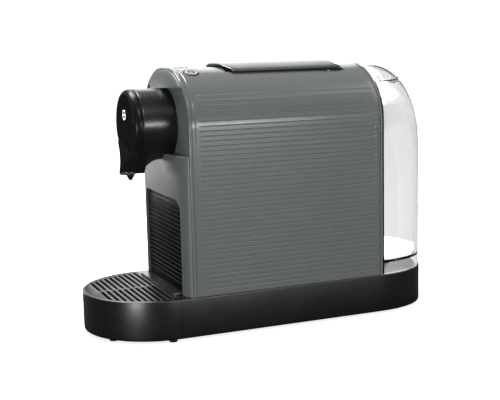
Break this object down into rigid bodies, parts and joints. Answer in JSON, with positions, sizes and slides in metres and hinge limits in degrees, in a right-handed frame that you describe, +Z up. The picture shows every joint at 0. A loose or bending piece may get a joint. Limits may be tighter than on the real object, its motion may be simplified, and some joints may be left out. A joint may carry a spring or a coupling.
{
  "type": "pod coffee machine",
  "caption": "Slim capsule coffee machine with a fluted arched body, horizontal brew head over a drip tray, top lever and buttons, and a clear lift-out water tank behind.",
  "frame": {"origin": "on the floor under the centre of the base's plan", "axes": "+Z up, -Y towards the spout and drip tray, +Y towards the water tank, x = 0 the machine's mid-plane"},
  "size_m": [0.142, 0.37, 0.2636],
  "materials": {
    "shell_paint": "satin grey with fine flutes",
    "grey_plastic": "satin",
    "black_plastic": "semi-gloss",
    "gloss_black": "high gloss",
    "inner_plastic": "as moulded",
    "white_plastic": "as moulded",
    "clear_plastic": "clear moulded plastic, polished",
    "lens": "translucent",
    "board": "lacquered circuit board",
    "rubber": "matt",
    "silicone": "translucent silicone",
    "steel": "turned",
    "aluminium": "as cast",
    "brass": "turned",
    "chrome": "polished"
  },
  "bodies": {
    "body": {"base_housing": "black_plastic", "base_plate": "black_plastic", "base_screw_1": "steel", "base_screw_2": "steel", "base_screw_3": "steel", "base_screw_4": "steel", "base_foot_1": "rubber", "base_foot_2": "rubber", "base_foot_3": "rubber", "base_foot_4": "rubber", "cord_gland": "rubber", "tank_dock": "inner_plastic", "dock_seal": "silicone", "front_housing": "grey_plastic", "outer_shell": "shell_paint", "rear_bulkhead": "grey_plastic", "brew_head_body": "gloss_black", "brew_head_cap": "gloss_black", "spout_ring": "chrome", "spout_nozzle": "inner_plastic", "emblem_badge": "chrome", "button_bezel_left": "black_plastic", "button_bezel_centre": "black_plastic", "button_bezel_right": "black_plastic", "indicator_lens_left": "lens", "indicator_lens_centre": "lens", "indicator_lens_right": "lens", "control_board": "board", "lever_pin": "steel", "lever_bed": "black_plastic", "capsule_chute": "inner_plastic", "idler_pin": "steel", "brew_chamber": "inner_plastic", "guide_rail_left": "steel", "guide_rail_right": "steel", "brew_frame": "inner_plastic", "pump": "brass", "thermoblock": "aluminium", "flow_meter": "white_plastic", "hose_inlet": "silicone", "hose_pressure": "silicone"},
    "tray_unit": {"drip_tray": "black_plastic", "tray_foot_1": "rubber", "tray_foot_2": "rubber", "tray_foot_3": "rubber", "tray_foot_4": "rubber", "capsule_container": "black_plastic"},
    "grate": {"drip_grate": "black_plastic"},
    "lever": {"lever_handle": "gloss_black"},
    "idler": {"idler_gear": "white_plastic"},
    "carriage": {"brew_carriage": "white_plastic"},
    "button_left_body": {"button_left": "grey_plastic"},
    "button_centre_body": {"button_centre": "grey_plastic"},
    "button_right_body": {"button_right": "grey_plastic"},
    "tank": {"water_tank": "clear_plastic", "tank_lid_pin": "steel", "tank_valve": "black_plastic"},
    "lid": {"tank_lid": "clear_plastic"},
    "plunger": {"valve_plunger": "white_plastic"}
  },
  "joints": [
    {"name": "tray_slide", "type": "slide", "parent": "body", "child": "tray_unit", "axis": [0, -1, 0], "range_m": [0, 0.13]},
    {"name": "grate_lift", "type": "slide", "parent": "tray_unit", "child": "grate", "axis": [0, 0, 1], "range_m": [0, 0.03]},
    {"name": "lever_hinge", "type": "hinge", "parent": "body", "child": "lever", "pos_m": [0, 0.0775, 0.2545], "axis": [-1, 0, 0], "range_deg": [0, 80]},
    {"name": "idler_spin", "type": "hinge", "parent": "body", "child": "idler", "pos_m": [0, 0.0775, 0.2288], "axis": [1, 0, 0], "range_deg": [0, 147]},
    {"name": "carriage_slide", "type": "slide", "parent": "body", "child": "carriage", "axis": [0, 1, 0], "range_m": [0, 0.0231]},
    {"name": "button_left_press", "type": "slide", "parent": "body", "child": "button_left_body", "axis": [0.3394, 0, -0.9406], "range_m": [0, 0.0012], "stiffness_N_per_m": 300},
    {"name": "button_centre_press", "type": "slide", "parent": "body", "child": "button_centre_body", "axis": [0, 0, -1], "range_m": [0, 0.0012], "stiffness_N_per_m": 300},
    {"name": "button_right_press", "type": "slide", "parent": "body", "child": "button_right_body", "axis": [-0.3394, 0, -0.9406], "range_m": [0, 0.0012], "stiffness_N_per_m": 300},
    {"name": "tank_lift", "type": "slide", "parent": "body", "child": "tank", "axis": [0, 0, 1], "range_m": [0, 0.1]},
    {"name": "lid_hinge", "type": "hinge", "parent": "tank", "child": "lid", "pos_m": [0, 0.1159, 0.2576], "axis": [1, 0, 0], "range_deg": [0, 75]},
    {"name": "plunger_lift", "type": "slide", "parent": "tank", "child": "plunger", "axis": [0, 0, 1], "range_m": [0, 0.003]}
  ],
  "couplings": [
    {"joint": "idler_spin", "follows": "lever_hinge", "ratio": 1.8333},
    {"joint": "carriage_slide", "follows": "lever_hinge", "m_per_rad": 0.0165}
  ]
}
